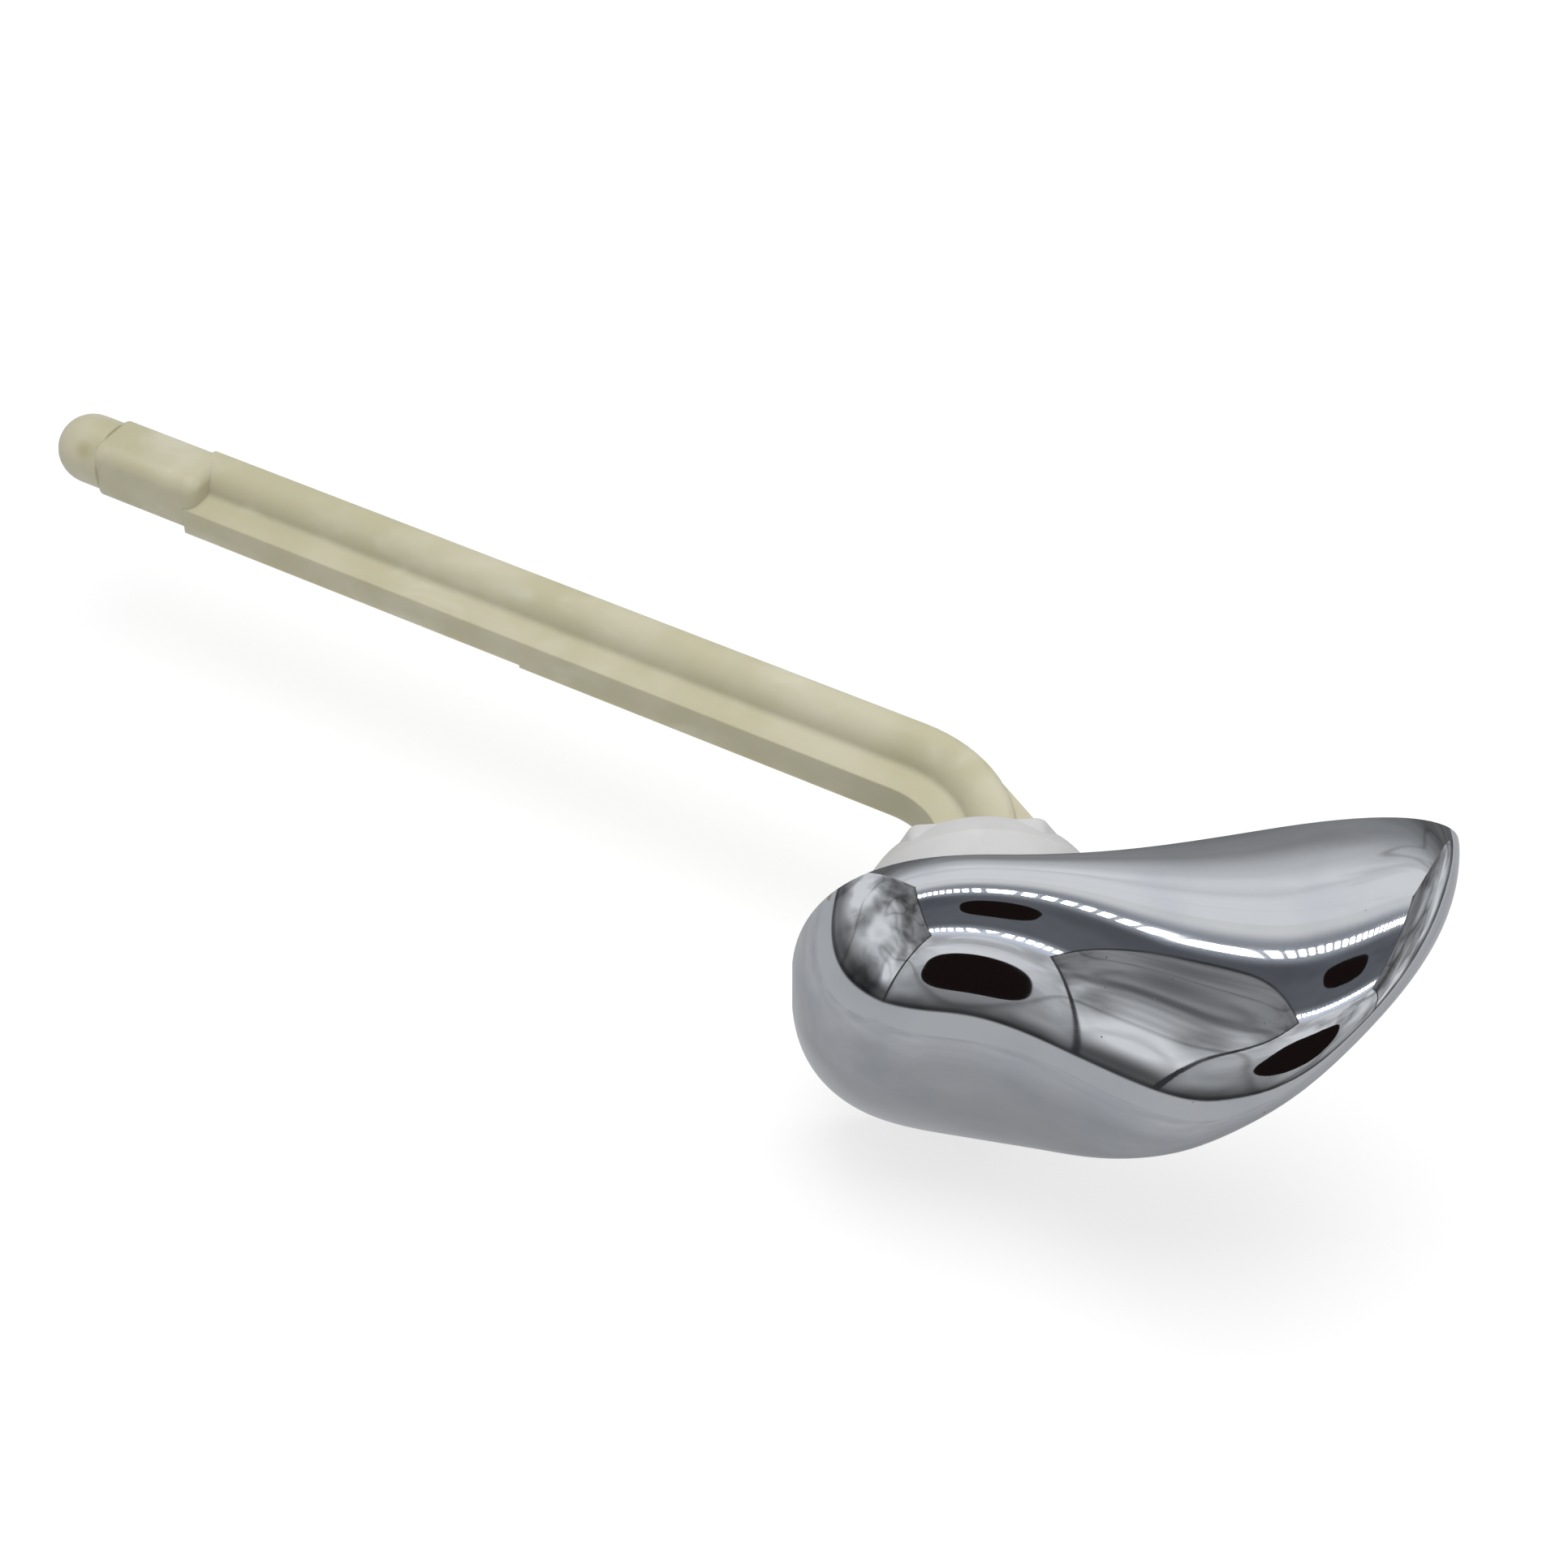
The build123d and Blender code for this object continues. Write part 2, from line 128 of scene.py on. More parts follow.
class Value:
    """A number socket of a shader tree; arithmetic on it adds Math nodes."""

    def __init__(self, shader: "ShaderTree", socket: bpy.types.NodeSocket) -> None:
        """Wrap one output socket.

        Args:
            shader: Tree that the socket belongs to.
            socket: Output socket that carries the number.
        """
        self.shader = shader
        self.socket = socket

    def _math(self, operation: str, first: Number, second: Number = 0.0) -> "Value":
        """Add a Math node.

        Args:
            operation: Name of the node's operation.
            first: Upper operand.
            second: Lower operand.

        Returns:
            The node's result.
        """
        node = self.shader.node("ShaderNodeMath", {"operation": operation}, {0: first, 1: second})
        return Value(self.shader, node.outputs[0])

    def __add__(self, other: Number) -> "Value":
        """Sum with a number or value."""
        return self._math("ADD", self, other)

    def __radd__(self, other: Number) -> "Value":
        """Sum with a number on the left."""
        return self._math("ADD", other, self)

    def __sub__(self, other: Number) -> "Value":
        """Difference from a number or value."""
        return self._math("SUBTRACT", self, other)

    def __rsub__(self, other: Number) -> "Value":
        """Difference with a number on the left."""
        return self._math("SUBTRACT", other, self)

    def __mul__(self, other: Number) -> "Value":
        """Product with a number or value."""
        return self._math("MULTIPLY", self, other)

    def __rmul__(self, other: Number) -> "Value":
        """Product with a number on the left."""
        return self._math("MULTIPLY", other, self)

    def __truediv__(self, other: Number) -> "Value":
        """Quotient by a number or value."""
        return self._math("DIVIDE", self, other)

    def __rtruediv__(self, other: Number) -> "Value":
        """Quotient with a number on the left."""
        return self._math("DIVIDE", other, self)

    def absolute(self) -> "Value":
        """Size of the value without its sign."""
        return self._math("ABSOLUTE", self)

    def at_most(self, other: Number) -> "Value":
        """Smaller of two values."""
        return self._math("MINIMUM", self, other)

    def at_least(self, other: Number) -> "Value":
        """Larger of two values."""
        return self._math("MAXIMUM", self, other)

    def smooth(self, low: float, high: float) -> "Value":
        """Smooth step from 0 to 1.

        Args:
            low: Value at which the step starts; above high for a falling step.
            high: Value at which the step ends.

        Returns:
            The share of the step, from 0 to 1.
        """
        rising = low <= high
        settings = {"interpolation_type": "SMOOTHSTEP"}
        ends = {"From Min": min(low, high), "From Max": max(low, high)}
        node = self.shader.node("ShaderNodeMapRange", settings, {"Value": self, **ends})
        share = Value(self.shader, node.outputs[0])
        return share if rising else 1.0 - share


class ShaderTree:
    """Node tree of a material or a world, with helpers for its nodes."""

    def __init__(self, owner: Union[bpy.types.Material, bpy.types.World]) -> None:
        """Empty the owner's tree.

        Args:
            owner: Material or world whose nodes are made here.
        """
        owner.use_nodes = True
        self.tree = owner.node_tree
        self.tree.nodes.clear()

    def node(
        self,
        kind: str,
        settings: Optional[dict[str, Any]] = None,
        inputs: Optional[dict[Union[str, int], Any]] = None,
    ) -> bpy.types.Node:
        """Add a node, set it up and wire it.

        Args:
            kind: Type name of the node.
            settings: Properties that are set first.
            inputs: Values, wrapped values or sockets for its input sockets.

        Returns:
            The new node.
        """
        made = self.tree.nodes.new(kind)
        for name, setting in (settings or {}).items():
            setattr(made, name, setting)
        for key, given in (inputs or {}).items():
            source = given.socket if isinstance(given, Value) else given
            if isinstance(source, bpy.types.NodeSocket):
                self.tree.links.new(source, made.inputs[key])
            else:
                made.inputs[key].default_value = source
        return made

    def place(self) -> bpy.types.NodeSocket:
        """Position on the piece in the part's frame, in metres."""
        return self.node("ShaderNodeTexCoord").outputs["Object"]

    def along(self, axis: Axis) -> Value:
        """Coordinate on the piece along one axis, in metres."""
        parts = self.node("ShaderNodeSeparateXYZ", None, {0: self.place()})
        return Value(self, parts.outputs[axis.value])

    def away_from(self, point: Point) -> Value:
        """Distance from a point of the part's frame, in metres."""
        node = self.node("ShaderNodeVectorMath", {"operation": "DISTANCE"}, {0: self.place(), 1: point})
        return Value(self, node.outputs["Value"])

    def clouds(self, pattern: Clouds) -> Value:
        """Cloudy noise over the piece.

        Args:
            pattern: Its fineness, form and edges.

        Returns:
            Noise from 0 to 1.
        """
        factors = {0: self.place(), 1: pattern.stretch}
        inputs = {
            "Vector": self.node("ShaderNodeVectorMath", {"operation": "MULTIPLY"}, factors).outputs[0],
            "Scale": pattern.scale,
            "Detail": pattern.detail,
            "Distortion": pattern.warp,
        }
        noise = Value(self, self.node("ShaderNodeTexNoise", None, inputs).outputs[0])
        return noise if pattern.edges is None else noise.smooth(*pattern.edges)

    def specks(self, pattern: Specks) -> Value:
        """Scattered round specks.

        Args:
            pattern: Their number, size and patches.

        Returns:
            1 in a speck, 0 outside.
        """
        inputs = {"Vector": self.place(), "Scale": pattern.scale, "Randomness": 1.0}
        cells = self.node("ShaderNodeTexVoronoi", {"feature": "F1"}, inputs)
        discs = Value(self, cells.outputs["Distance"]).smooth(pattern.size, pattern.size * pattern.core)
        return discs * self.clouds(pattern.patches)

    def blend(self, share: Number, first: Any, second: Any) -> bpy.types.NodeSocket:
        """Mix two colours.

        Args:
            share: Share of the second colour.
            first: Colour or socket at share 0.
            second: Colour or socket at share 1.

        Returns:
            The mixed colour's socket.
        """
        ends = [(*given, 1.0) if isinstance(given, tuple) else given for given in (first, second)]
        settings = {"data_type": "RGBA", "clamp_factor": True}
        # Inputs 6 and 7 and output 2 are the Mix node's sockets for colours.
        return self.node("ShaderNodeMix", settings, {0: share, 6: ends[0], 7: ends[1]}).outputs[2]

    def rounded(self, radius: float, samples: int) -> bpy.types.NodeSocket:
        """Normal of the Bevel node, which rounds the piece's edges by a radius in metres."""
        return self.node("ShaderNodeBevel", {"samples": samples}, {"Radius": radius}).outputs[0]

    def bump(
        self, height: Value, depth: float, base: Optional[bpy.types.NodeSocket] = None
    ) -> bpy.types.NodeSocket:
        """Normal from a height.

        Args:
            height: Height as a share of the depth.
            depth: Depth in metres.
            base: Normal that the height is added to; the surface's own if left out.

        Returns:
            The Bump node's normal.
        """
        inputs = {"Distance": depth, "Height": height}
        if base is not None:
            inputs["Normal"] = base
        return self.node("ShaderNodeBump", None, inputs).outputs[0]

    def light_path(self, *rays: Ray) -> Value:
        """Tell some kinds of ray from the others.

        Args:
            rays: Kinds of ray.

        Returns:
            1 on rays of these kinds, 0 on others.
        """
        path = self.node("ShaderNodeLightPath")
        total = Value(self, path.outputs[rays[0].value])
        for ray in rays[1:]:
            total = total.at_least(Value(self, path.outputs[ray.value]))
        return total

    def output(self, surface: bpy.types.NodeSocket, kind: str = "ShaderNodeOutputMaterial") -> None:
        """Send a shader to an output node of the given type."""
        self.node(kind, None, {"Surface": surface})

    def principled(self, inputs: dict[Union[str, int], Any]) -> None:
        """End the tree in one Principled shader with these values and links."""
        self.output(self.node("ShaderNodeBsdfPrincipled", None, inputs).outputs[0])

    def emission(self, inputs: dict[Union[str, int], Any]) -> None:
        """End the tree in one Emission shader with these values and links."""
        self.output(self.node("ShaderNodeEmission", None, inputs).outputs[0])


def new_material(name: str) -> tuple[bpy.types.Material, ShaderTree]:
    """Make an empty material of this name, with its shader tree."""
    material = bpy.data.materials.new(name)
    return material, ShaderTree(material)


@dataclass(frozen=True)
class ChromePlate:
    """Bright chrome over moulded plastic: a cool mirror with haze, hairlines and a few pits."""

    name: str = "chrome_plate"
    clean: Colour = (0.60, 0.615, 0.635)
    hazy: Colour = (0.55, 0.57, 0.60)
    pit: Colour = (0.16, 0.16, 0.17)
    haze: Clouds = Clouds(90.0, 4.0, edges=(0.42, 0.72))
    hairlines: Clouds = Clouds(2600.0, 2.0, stretch=(0.05, 1.0, 1.0))
    pits: Specks = Specks(420.0, 0.05, Clouds(45.0, 0.0, edges=(0.56, 0.62)))
    waves: Clouds = Clouds(40.0, 0.0)
    clean_roughness: float = 0.02
    hazy_roughness: float = 0.05
    hairline_roughness: float = 0.02
    pit_roughness: float = 0.3
    wave_depth: float = 0.015 * MM
    # Depth of a pit in depths of a wave.
    pit_depth: float = 0.2

    def build(self) -> bpy.types.Material:
        """Make the material.

        Returns:
            The finish for the handle's skin.
        """
        material, shader = new_material(self.name)
        haze = shader.clouds(self.haze)
        pits = shader.specks(self.pits)
        colour = shader.blend(pits, shader.blend(haze, self.clean, self.hazy), self.pit)
        roughness = self.clean_roughness + (self.hazy_roughness - self.clean_roughness) * haze
        roughness = roughness + self.hairline_roughness * shader.clouds(self.hairlines)
        roughness = roughness + self.pit_roughness * pits
        height = shader.clouds(self.waves) - self.pit_depth * pits
        inputs = {"Base Color": colour, "Metallic": 1.0, "Roughness": roughness}
        shader.principled({**inputs, "Normal": shader.bump(height, self.wave_depth)})
        return material


@dataclass(frozen=True)
class MouldedPlastic:
    """Satin moulded plastic with clouded colour, flow streaks, a fine skin and perhaps a gate's dimple
    with painted shade.
    """

    name: str
    colour: Colour
    pale: Colour
    deep: Colour
    roughness: float
    clouds: Clouds = Clouds(65.0, 3.0, edges=(0.35, 0.65))
    streaks: Clouds = Clouds(240.0, 3.0, warp=0.6)
    streak_edges: Pair = (0.5, 0.8)
    streak_share: float = 0.5
    streak_roughness: float = 0.12
    dust: Specks = Specks(650.0, 0.045, Clouds(80.0, 0.0, edges=(0.54, 0.6)))
    dust_share: float = 0.5
    skin: Clouds = Clouds(5200.0, 2.0)
    skin_roughness: float = 0.06
    skin_depth: float = 0.012 * MM
    # Depths of the dents and of the gate's dimple in depths of the skin.
    dents: Clouds = Clouds(700.0, 1.0)
    dent_depth: float = 1.4
    gate: Optional[Point] = None
    gate_depth: float = 6.0
    gate_radius: float = 2.1 * MM
    # Painted shade of the gate's dimple, as shares of the deep colour.
    gate_painted_shade: Colour = (0.86, 0.83, 0.66)
    gate_share: float = 0.8
    edge: float = 0.4 * MM
    edge_samples: int = 6
    refraction: float = 1.48
    glow: float = 0.0
    glow_radius: Colour = (1.0, 0.85, 0.5)
    glow_depth: float = 1.6 * MM

    def build(self) -> bpy.types.Material:
        """Make the material.

        Returns:
            The finish for one plastic.
        """
        material, shader = new_material(self.name)
        streaks = shader.clouds(self.streaks)
        skin = shader.clouds(self.skin)
        tint = shader.blend(shader.clouds(self.clouds), self.deep, self.colour)
        tint = shader.blend(streaks.smooth(*self.streak_edges) * self.streak_share, tint, self.pale)
        tint = shader.blend(shader.specks(self.dust) * self.dust_share, tint, self.deep)
        roughness = self.roughness + self.streak_roughness * (streaks - MIDDLE)
        roughness = roughness + self.skin_roughness * (skin - MIDDLE)
        height = skin + self.dent_depth * shader.clouds(self.dents)
        if self.gate is not None:
            dimple = shader.away_from(self.gate).smooth(self.gate_radius, 0.0)
            # Painted shade: the dimple's tint is darkened for the shade in its hollow, besides its shallow
            # bump.
            shade = tuple(share * c for share, c in zip(self.gate_painted_shade, self.deep))
            tint = shader.blend(dimple * self.gate_share, tint, shade)
            height = height - self.gate_depth * dimple
        edge = shader.rounded(self.edge, self.edge_samples)
        inputs = {
            "Base Color": tint,
            "Roughness": roughness,
            "IOR": self.refraction,
            "Subsurface Weight": self.glow,
            "Subsurface Radius": self.glow_radius,
            "Subsurface Scale": self.glow_depth,
            "Normal": shader.bump(height, self.skin_depth, edge),
        }
        shader.principled(inputs)
        return material


@dataclass(frozen=True)
class Rubber:
    """Matt black rubber with a dusty bloom."""

    name: str = "black_rubber"
    colour: Colour = (0.022, 0.022, 0.023)
    bloom: Colour = (0.065, 0.063, 0.06)
    dust: Clouds = Clouds(300.0, 4.0, edges=(0.5, 0.75))
    pores: Clouds = Clouds(4200.0, 1.0)
    roughness: float = 0.72
    dust_roughness: float = 0.15
    pore_depth: float = 0.02 * MM

    def build(self) -> bpy.types.Material:
        """Make the material.

        Returns:
            The gasket's finish.
        """
        material, shader = new_material(self.name)
        dust = shader.clouds(self.dust)
        inputs = {
            "Base Color": shader.blend(dust, self.colour, self.bloom),
            "Roughness": self.roughness + self.dust_roughness * dust,
            "Normal": shader.bump(shader.clouds(self.pores), self.pore_depth),
        }
        shader.principled(inputs)
        return material


@dataclass(frozen=True)
class ZincSteel:
    """Zinc plated steel with a brushed grain and dull patches."""

    name: str = "zinc_steel"
    bright: Colour = (0.58, 0.59, 0.61)
    dull: Colour = (0.38, 0.38, 0.39)
    patches: Clouds = Clouds(600.0, 3.0, edges=(0.45, 0.7))
    grain: Clouds = Clouds(3500.0, 2.0, stretch=(1.0, 1.0, 0.08))
    roughness: float = 0.28
    patch_roughness: float = 0.18
    grain_roughness: float = 0.1
    grain_depth: float = 0.01 * MM

    def build(self) -> bpy.types.Material:
        """Make the material.

        Returns:
            The set screw's finish.
        """
        material, shader = new_material(self.name)
        patches = shader.clouds(self.patches)
        grain = shader.clouds(self.grain)
        inputs = {
            "Base Color": shader.blend(patches, self.bright, self.dull),
            "Metallic": 1.0,
            "Roughness": self.roughness + self.patch_roughness * patches + self.grain_roughness * grain,
            "Normal": shader.bump(grain, self.grain_depth),
        }
        shader.principled(inputs)
        return material


@dataclass(frozen=True)
class Glow:
    """Even glow; one of strength 1 shows its own colour."""

    name: str
    colour: Colour
    strength: float = 1.0

    def build(self) -> bpy.types.Material:
        """Make the material.

        Returns:
            The look of a lamp, an opening or a seam.
        """
        material, shader = new_material(self.name)
        shader.emission({"Color": (*self.colour, 1.0), "Strength": self.strength})
        return material


@dataclass(frozen=True)
class WallCloth:
    """Creased cloth that glows, and whose brightness changes with height.

    Attributes:
        name: Name of the look.
        levels: Rising heights with the brightness at each.
        relief: How strongly the folds show.
        drape: Factors on the three axes; a small one draws the folds out along that axis.
        folds: Broad folds.
        fold_share: Their part in the relief.
        fold_middle: Level of the folds that leaves the brightness as it is.
        puckers: Small folds.
        pucker_share: Their part in the relief.
        ridges: Noise whose middle level draws the creases.
        crease_width: Width of a crease in levels of that noise.
        crease_shade: How much a crease darkens the cloth.
        seam: Distances from the sweep at which its dark line is full and ends.
        seam_shade: How much that line darkens the cloth.
        fade: Height over which the cloth turns into the floor under the sweep.
        floor_glow: Brightness there.
        tint: Colour of the cloth.
    """

    name: str
    levels: Levels
    relief: float
    drape: Point = EVEN
    folds: Clouds = Clouds(8.5, 2.0, warp=0.5, edges=(0.32, 0.68))
    fold_share: float = 0.74
    fold_middle: float = 0.6
    puckers: Clouds = Clouds(19.0, 3.0, warp=0.8)
    pucker_share: float = 0.5
    ridges: Clouds = Clouds(3.4, 1.5, warp=0.7)
    crease_width: float = 0.025
    crease_shade: float = 0.34
    seam: Pair = (2 * MM, 12 * MM)
    seam_shade: float = 0.5
    fade: float = 6 * MM
    floor_glow: float = 0.60
    tint: Colour = (0.97, 0.98, 1.0)

    def build(self, sweep: float) -> bpy.types.Material:
        """Make the material.

        Args:
            sweep: Height at which the cloth meets the floor.

        Returns:
            The look of a wall.
        """
        material, shader = new_material(self.name)
        height = shader.along(Axis.Z)
        level: Number = self.levels[0][1]
        for (low, dim), (high, bright) in zip(self.levels, self.levels[1:]):
            level = level + (bright - dim) * height.smooth(low, high)
        patterns = (self.folds, self.puckers, self.ridges)
        draped = [shader.clouds(replace(pattern, stretch=self.drape)) for pattern in patterns]
        folds, puckers, ridges = draped
        relief = self.fold_share * (folds - self.fold_middle) + self.pucker_share * (puckers - MIDDLE)
        creases = (ridges - MIDDLE).absolute().smooth(0.0, self.crease_width)
        seam = (height - sweep).absolute().smooth(*self.seam)
        level = level * (1.0 + self.relief * relief)
        level = level * (1.0 - self.crease_shade + self.crease_shade * creases)
        level = level * (1.0 - self.seam_shade + self.seam_shade * seam)
        below = height.smooth(sweep, sweep - self.fade)
        level = level * (1.0 - below) + self.floor_glow * below
        shader.emission({"Color": shader.blend(level.at_least(0.0), BLACK, self.tint)})
        return material


@dataclass(frozen=True)
class RoofCloth:
    """Glowing cloth of the roof: dim, but bright round each strip, before the front one and behind both.

    Attributes:
        name: Name of the look.
        dim: Brightness between the strips.
        halo: Distances from a strip at which its halo ends and is full.
        halo_share: Brightness that the halo adds.
        before: Distance in front of the front strip at which the cloth is at its brightest.
        before_share: Brightness that it gains there.
        behind: Distances behind the back strip at which it starts to brighten and is at its brightest.
        behind_share: Brightness that it gains there.
        folds: Folds along the strips.
        fold_share: How strongly the folds show.
        cool: Colour of the cloth in front of the back strip; it is white behind it.
    """

    name: str = "tent_roof_cloth"
    dim: float = 0.15
    halo: Pair = (48 * MM, 6 * MM)
    halo_share: float = 0.35
    before: float = 20 * MM
    before_share: float = 0.65
    behind: Pair = (12 * MM, 62 * MM)
    behind_share: float = 0.75
    folds: Clouds = Clouds(8.0, 2.0, stretch=(0.4, 1.0, 1.0), warp=0.8, edges=(0.3, 0.7))
    fold_share: float = 0.06
    cool: Colour = (0.90, 0.95, 1.06)

    def build(self, front_strip: float, back_strip: float) -> bpy.types.Material:
        """Make the material.

        Args:
            front_strip: Place of the front strip of lamps along Y.
            back_strip: Place of the back strip.

        Returns:
            The look of the roof.
        """
        material, shader = new_material(self.name)
        y = shader.along(Axis.Y)
        to_back = (y - back_strip).absolute()
        to_front = (y - front_strip).absolute()
        halo = to_back.at_most(to_front).smooth(*self.halo)
        before = y.smooth(front_strip, front_strip - self.before)
        behind = y.smooth(back_strip + self.behind[0], back_strip + self.behind[1])
        level = self.dim + self.halo_share * halo * halo
        level = level + self.before_share * before + self.behind_share * behind
        level = level + self.fold_share * (shader.clouds(self.folds) - MIDDLE)
        tint = shader.blend(behind, self.cool, WHITE)
        shader.emission({"Color": shader.blend(level, BLACK, tint)})
        return material


def dress(node: str, material: bpy.types.Material) -> None:
    """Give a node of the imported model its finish.

    Args:
        node: Name of the node.
        material: Finish that it gets all over.
    """
    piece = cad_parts[node]
    if not piece.material_slots:
        piece.data.materials.append(material)
    for slot in piece.material_slots:
        slot.material = material
    LOG.info("%s wears %s", node, material.name)


def mesh_object(name: str, build: bmesh.types.BMesh) -> bpy.types.Object:
    """Turn a built mesh into an object of the scene.

    Args:
        name: Name of the object.
        build: Mesh under construction, which is freed.

    Returns:
        The new object.
    """
    mesh = bpy.data.meshes.new(name)
    build.to_mesh(mesh)
    build.free()
    made = bpy.data.objects.new(name, mesh)
    bpy.context.scene.collection.objects.link(made)
    return made


@dataclass
class MirrorSkin:
    """The handle's mesh with normals that follow the smooth form behind its facets, to mirror evenly.

    Attributes:
        node: Node that the skin stands for.
        body: Body that it rides on.
        piece: Name of the skin.
        slot: Its material slot in the record; not used.
        neighbours: Nearest vertices that a vertex's patch may be fitted to.
        reach: Distance over which a neighbour's weight falls off.
        same_face: Least cosine between two normals of one smooth face.
        deepest: Greatest height of a neighbour off the vertex's plane, in reaches.
        fewest: Fewest neighbours for a sound patch.
        stiffness: Small weight that keeps every fit solvable.
        leaning: Share of X in a normal from which a patch takes Y as its helper axis.
        shortest: Least length that a sum of normals is divided by.
        back_facing: Least share of Y in a normal that faces the open back.
        rim: Depth of the rim, which keeps the outer finish.
        lift: Height over a face from which it looks for another wall.
        span: How far it looks.
    """

    node: str = "handle"
    body: str = "lever"
    piece: str = "handle_skin"
    slot: str = "chrome_plate"
    neighbours: int = 64
    reach: float = 2.4 * MM
    same_face: float = 0.90
    deepest: float = 0.25
    fewest: int = 16
    stiffness: float = 1e-7
    leaning: float = 0.7
    shortest: float = 1e-9
    back_facing: float = 0.3
    rim: float = 0.1 * MM
    lift: float = 0.05 * MM
    span: float = 60 * MM

    def build(self, outside: bpy.types.Material, inside: bpy.types.Material) -> None:
        """Make the skin, dress it and let it stand for the handle's node.

        Args:
            outside: Finish of the skin and the rim.
            inside: Finish of the hollow.
        """
        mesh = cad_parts[self.node].data.copy()
        skin = bpy.data.objects.new(self.piece, mesh)
        bpy.context.scene.collection.objects.link(skin)
        mesh.materials.clear()
        mesh.materials.append(outside)
        mesh.materials.append(inside)
        self._mark_hollow(mesh)
        smooth, fitted = self._smooth_normals(mesh)
        mesh.normals_split_custom_set(smooth[self._corners(mesh)].tolist())
        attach(skin, self.body)
        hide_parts(self.node)
        LOG.info("%s mirrors with %.0f%% of its normals refined", self.piece, 100.0 * fitted)

    def _mark_hollow(self, mesh: bpy.types.Mesh) -> None:
        """Give the hollow the second finish: the smooth sheets that mostly face the back or another wall.

        Args:
            mesh: Mesh of the shell, open at its highest Y.
        """
        places = [vertex.co for vertex in mesh.vertices]
        tree = BVHTree.FromPolygons(places, [face.vertices for face in mesh.polygons])
        rim = max(place.y for place in places) - self.rim
        sheets = self._sheets(mesh)
        votes: dict[int, float] = {}
        for face, sheet in zip(mesh.polygons, sheets):
            start = face.center + face.normal * self.lift
            opposite = tree.ray_cast(start, face.normal, self.span)[0]
            shut = face.normal.y > self.back_facing or opposite is not None
            enclosed = shut and face.center.y < rim
            votes[sheet] = votes.get(sheet, 0.0) + (face.area if enclosed else -face.area)
        for face, sheet in zip(mesh.polygons, sheets):
            face.material_index = int(votes[sheet] > 0.0)

    def _sheets(self, mesh: bpy.types.Mesh) -> list[int]:
        """Number the smooth sheets of a mesh, whose vertices are split along its sharp edges.

        Args:
            mesh: Mesh to part into sheets.

        Returns:
            The number of each face's sheet.
        """
        leaders = list(range(len(mesh.vertices)))
        for face in mesh.polygons:
            first = self._lead(leaders, face.vertices[0])
            for index in face.vertices[1:]:
                leaders[self._lead(leaders, index)] = first
        return [self._lead(leaders, face.vertices[0]) for face in mesh.polygons]

    @staticmethod
    def _lead(leaders: list[int], index: int) -> int:
        """Follow a vertex to the one that leads its sheet, and shorten the way.

        Args:
            leaders: Vertex that each vertex follows.
            index: Vertex to start from.

        Returns:
            The vertex that follows itself.
        """
        while leaders[index] != index:
            leaders[index] = leaders[leaders[index]]
            index = leaders[index]
        return index

    def _smooth_normals(self, mesh: bpy.types.Mesh) -> tuple[np.ndarray, float]:
        """Fit a cubic patch round each vertex and take its slope.

        Args:
            mesh: Mesh whose vertices lie on the smooth form.

        Returns:
            One normal for each vertex, and the share of them that come from a patch.
        """
        points = np.empty(len(mesh.vertices) * 3)
        mesh.vertices.foreach_get("co", points)
        points = points.reshape(-1, 3)
        rough = self._vertex_normals(mesh)
        near = self._nearest(points)
        apart = (points[near] - points[:, None, :]) / self.reach
        helper = np.where(np.abs(rough[:, :1]) < self.leaning, [[1.0, 0.0, 0.0]], [[0.0, 1.0, 0.0]])
        side = np.cross(rough, helper)
        side /= np.linalg.norm(side, axis=1, keepdims=True)
        other = np.cross(rough, side)
        u, v, rise = (np.einsum("ijk,ik->ij", apart, axis) for axis in (side, other, rough))
        alike = np.einsum("ijk,ik->ij", rough[near], rough) > self.same_face
        alike &= np.abs(rise) < self.deepest
        weight = np.exp(-(apart**2).sum(axis=2)) * alike
        terms = [np.ones_like(u), u, v, u * u, u * v, v * v, u**3, u * u * v, u * v * v, v**3]
        basis = np.stack(terms, axis=2)
        square = np.einsum("ijk,ij,ijl->ikl", basis, weight, basis)
        square += self.stiffness * np.eye(len(terms))
        target = np.einsum("ijk,ij,ij->ik", basis, weight, rise)
        patch = np.linalg.solve(square, target[:, :, None])[:, :, 0]
        # Terms 1 and 2 of a patch are its slopes at the vertex.
        slope = rough - patch[:, 1:2] * side - patch[:, 2:3] * other
        slope /= np.linalg.norm(slope, axis=1, keepdims=True)
        close = np.einsum("ij,ij->i", slope, rough) > self.same_face
        sound = (alike.sum(axis=1) >= self.fewest) & close
        return np.where(sound[:, None], slope, rough), float(sound.mean())

    @staticmethod
    def _corners(mesh: bpy.types.Mesh) -> np.ndarray:
        """Find the vertex at each corner of the faces.

        Args:
            mesh: Mesh with faces.

        Returns:
            One index for each corner.
        """
        corners = np.empty(len(mesh.loops), dtype=np.int32)
        mesh.loops.foreach_get("vertex_index", corners)
        return corners

    def _vertex_normals(self, mesh: bpy.types.Mesh) -> np.ndarray:
        """Mean of the corner normals at each vertex.

        Args:
            mesh: Mesh with one smooth normal for each corner.

        Returns:
            One unit normal for each vertex.
        """
        given = np.empty(len(mesh.loops) * 3)
        mesh.corner_normals.foreach_get("vector", given)
        total = np.zeros((len(mesh.vertices), 3))
        np.add.at(total, self._corners(mesh), given.reshape(-1, 3))
        return total / np.maximum(np.linalg.norm(total, axis=1, keepdims=True), self.shortest)

    def _nearest(self, points: np.ndarray) -> np.ndarray:
        """Nearest vertices of each vertex.

        Args:
            points: Places of the vertices.

        Returns:
            Indices of the neighbours, one row for each vertex.
        """
        tree = KDTree(len(points))
        for index, point in enumerate(points):
            tree.insert(point, index)
        tree.balance()
        found = [[index for _, index, _ in tree.find_n(point, self.neighbours)] for point in points]
        return np.array(found, dtype=np.int32)


